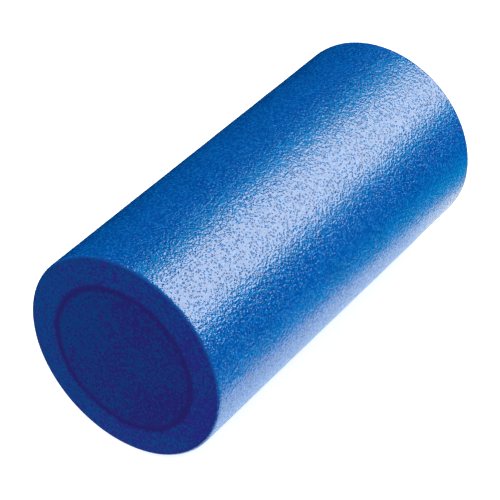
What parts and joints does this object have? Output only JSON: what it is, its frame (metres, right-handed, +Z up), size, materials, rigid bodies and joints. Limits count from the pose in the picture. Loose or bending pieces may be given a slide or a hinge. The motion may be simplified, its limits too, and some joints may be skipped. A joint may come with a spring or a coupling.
{
  "type": "foam roller",
  "caption": "Short round exercise and massage roller of closed-cell foam: a core log, a fused band, a thick jacket and a grained skin, lying on its side.",
  "frame": {"origin": "on the floor, below the middle of the roller: the middle of the strip of skin that the roller lies on", "axes": "+X along the roller's axis, +Z up, +Y level and across the roller"},
  "size_m": [0.305, 0.145, 0.145],
  "materials": {
    "core_foam": "matte",
    "band_foam": "matte",
    "jacket_foam": "matte",
    "skin_foam": "satin"
  },
  "bodies": {
    "root": {"core_log": "core_foam", "fused_band": "band_foam", "foam_jacket": "jacket_foam", "grained_skin": "skin_foam"}
  },
  "joints": []
}
